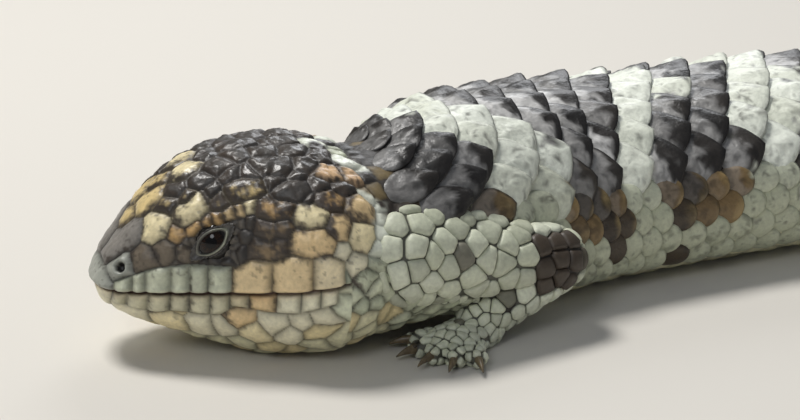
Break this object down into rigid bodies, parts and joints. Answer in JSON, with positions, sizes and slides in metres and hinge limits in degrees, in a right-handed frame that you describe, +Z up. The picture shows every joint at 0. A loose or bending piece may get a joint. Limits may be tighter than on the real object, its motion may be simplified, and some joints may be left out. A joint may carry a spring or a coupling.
{
  "type": "shingleback lizard",
  "caption": "Life-size still model of a shingleback, the stump-tailed kind of blue-tongued skink, lying flat with its head turned to its left.",
  "frame": {"origin": "the middle of the animal's box, at floor level", "axes": "+X runs from the head towards the tail, -Y is the animal's left side, +Z is up"},
  "size_m": [0.3305, 0.1213, 0.0413],
  "materials": {
    "head_skin": "large rough head shields, dark grey with cream and ochre patches",
    "jaw_skin": "smooth pale lip and throat scales, cream with ochre edges",
    "back_scales": "large keeled scutes, black-grey with whitish bands",
    "leg_skin": "rounded greenish cream scales with dark patches",
    "eye": "wet and glossy",
    "claw": "horn with a soft sheen"
  },
  "bodies": {
    "root": {"head": "head_skin", "jaw": "jaw_skin", "neck": "back_scales", "torso_front": "back_scales", "torso_rear": "back_scales", "tail": "back_scales", "upper_arm_left": "leg_skin", "forearm_left": "leg_skin", "hand_left": "leg_skin", "thigh_left": "leg_skin", "shank_left": "leg_skin", "hind_foot_left": "leg_skin", "eye_left": "eye", "upper_arm_right": "leg_skin", "forearm_right": "leg_skin", "hand_right": "leg_skin", "thigh_right": "leg_skin", "shank_right": "leg_skin", "hind_foot_right": "leg_skin", "eye_right": "eye"}
  },
  "joints": []
}
